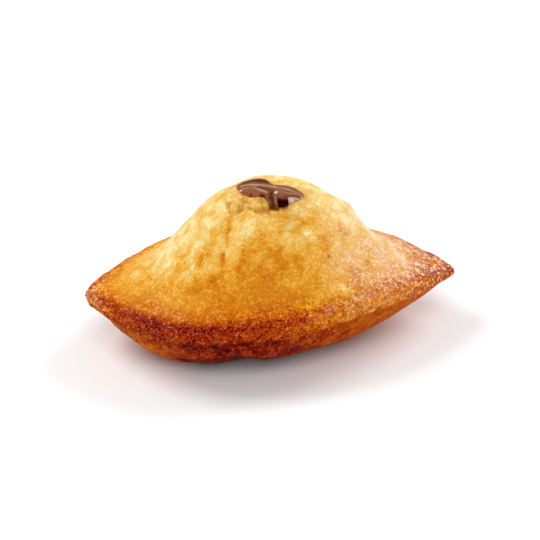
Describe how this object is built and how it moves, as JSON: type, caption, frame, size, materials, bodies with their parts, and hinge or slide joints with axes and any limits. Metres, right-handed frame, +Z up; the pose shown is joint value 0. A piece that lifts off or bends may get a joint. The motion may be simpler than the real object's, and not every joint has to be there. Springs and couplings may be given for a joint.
{
  "type": "shell sponge cake with chocolate filling",
  "caption": "Small shell-shaped sponge cake with a tall baked hump, a browned brim, a fluted belly and soft chocolate showing in a torn opening at the top.",
  "frame": {"origin": "centre of the bounding box at its lowest level, on the surface the cake rests on", "axes": "+X along the cake from the wide fan end to the pointed hinge end, +Z up through the hump"},
  "size_m": [0.0812, 0.052, 0.0361],
  "materials": {
    "sponge": "golden baked sponge with a fine buttery sheen, pale at the hump and browned at the brim and belly",
    "chocolate": "soft glossy chocolate cream with folds"
  },
  "bodies": {
    "root": {"madeleine_sponge": "sponge", "chocolate_filling": "chocolate"}
  },
  "joints": []
}
